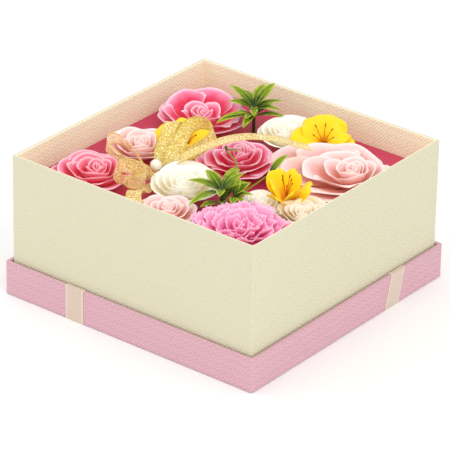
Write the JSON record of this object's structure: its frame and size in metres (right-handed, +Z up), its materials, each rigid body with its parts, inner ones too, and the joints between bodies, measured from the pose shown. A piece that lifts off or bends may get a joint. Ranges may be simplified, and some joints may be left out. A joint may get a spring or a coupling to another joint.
{
  "type": "flower gift box",
  "caption": "Square rigid gift box filled with artificial roses, freesias, a carnation, greenery and a ribbon bow, standing in its own upturned lid.",
  "frame": {"origin": "centre of the footprint, on the surface the upturned lid rests on", "axes": "+Z up; -Y and +X are the two faces seen in the usual three-quarter view, with the long lid ribbon running along Y"},
  "size_m": [0.2078, 0.2078, 0.115],
  "materials": {
    "cream_paper": "matte",
    "pink_paper": "satin",
    "greyboard": "matte",
    "lining_paper": "matte",
    "cream_satin": "satin",
    "crimson_card": "matte",
    "hot_pink_petal": "matte",
    "blush_petal": "matte",
    "pink_petal": "matte",
    "white_petal": "matte",
    "cream_petal": "matte",
    "carnation_petal": "matte",
    "yellow_petal": "matte",
    "stamen": "matte",
    "leaf_plastic": "satin",
    "stem_plastic": "satin",
    "gold_organza": "satin",
    "gold_wire": "satin",
    "pearl": "gloss"
  },
  "bodies": {
    "lid": {"lid_board": "greyboard", "lid_lining": "lining_paper", "lid_ribbon_cross": "cream_satin", "lid_ribbon_long": "cream_satin", "lid_wrap": "pink_paper"},
    "box": {"box_board": "greyboard", "box_lining": "lining_paper", "box_wrap": "cream_paper"},
    "insert": {"blush_rose_big": "blush_petal", "blush_rose_big_calyx": "stem_plastic", "blush_rose_front": "blush_petal", "blush_rose_front_calyx": "stem_plastic", "blush_rose_left": "blush_petal", "blush_rose_left_calyx": "stem_plastic", "carnation": "carnation_petal", "carnation_calyx": "stem_plastic", "cream_rose": "cream_petal", "cream_rose_calyx": "stem_plastic", "freesia_left": "yellow_petal", "freesia_left_stamens": "stamen", "freesia_left_stem": "stem_plastic", "hot_pink_rose": "hot_pink_petal", "hot_pink_rose_calyx": "stem_plastic", "pink_rose_back": "pink_petal", "pink_rose_back_calyx": "stem_plastic", "pink_rose_centre": "pink_petal", "pink_rose_centre_calyx": "stem_plastic", "platform": "crimson_card", "white_rose_back": "white_petal", "white_rose_back_calyx": "stem_plastic", "white_rose_centre": "white_petal", "white_rose_centre_calyx": "stem_plastic", "white_rose_front": "white_petal", "white_rose_front_calyx": "stem_plastic"},
    "freesia_back_pick": {"freesia_back": "yellow_petal", "freesia_back_stamens": "stamen", "freesia_back_stem": "stem_plastic"},
    "freesia_front_pick": {"freesia_front": "yellow_petal", "freesia_front_stamens": "stamen", "freesia_front_stem": "stem_plastic"},
    "sprig_back_pick": {"sprig_back_lower_whorl": "leaf_plastic", "sprig_back_stem": "stem_plastic", "sprig_back_upper_whorl": "leaf_plastic"},
    "sprig_front_pick": {"sprig_front_lower_whorl": "leaf_plastic", "sprig_front_stem": "stem_plastic", "sprig_front_upper_whorl": "leaf_plastic"},
    "bow": {"bow_knot": "gold_organza", "bow_loop_back": "gold_organza", "bow_loop_front": "gold_organza", "bow_loop_left": "gold_organza", "bow_loop_up": "gold_organza", "bow_pearl": "pearl", "bow_pick": "gold_wire", "bow_tail_arch": "gold_organza", "bow_tail_front": "gold_organza"}
  },
  "joints": [
    {"name": "box_lift", "type": "slide", "parent": "lid", "child": "box", "axis": [0, 0, 1], "range_m": [0, 0.06]},
    {"name": "insert_lift", "type": "slide", "parent": "box", "child": "insert", "axis": [0, 0, 1], "range_m": [0, 0.1]},
    {"name": "freesia_back_pull", "type": "slide", "parent": "insert", "child": "freesia_back_pick", "axis": [0, 0, 1], "range_m": [0, 0.03]},
    {"name": "freesia_front_pull", "type": "slide", "parent": "insert", "child": "freesia_front_pick", "axis": [0, 0, 1], "range_m": [0, 0.03]},
    {"name": "sprig_back_pull", "type": "slide", "parent": "insert", "child": "sprig_back_pick", "axis": [0, 0, 1], "range_m": [0, 0.03]},
    {"name": "sprig_front_pull", "type": "slide", "parent": "insert", "child": "sprig_front_pick", "axis": [0, 0, 1], "range_m": [0, 0.03]},
    {"name": "bow_pull", "type": "slide", "parent": "insert", "child": "bow", "axis": [0, 0, 1], "range_m": [0, 0.03]}
  ]
}
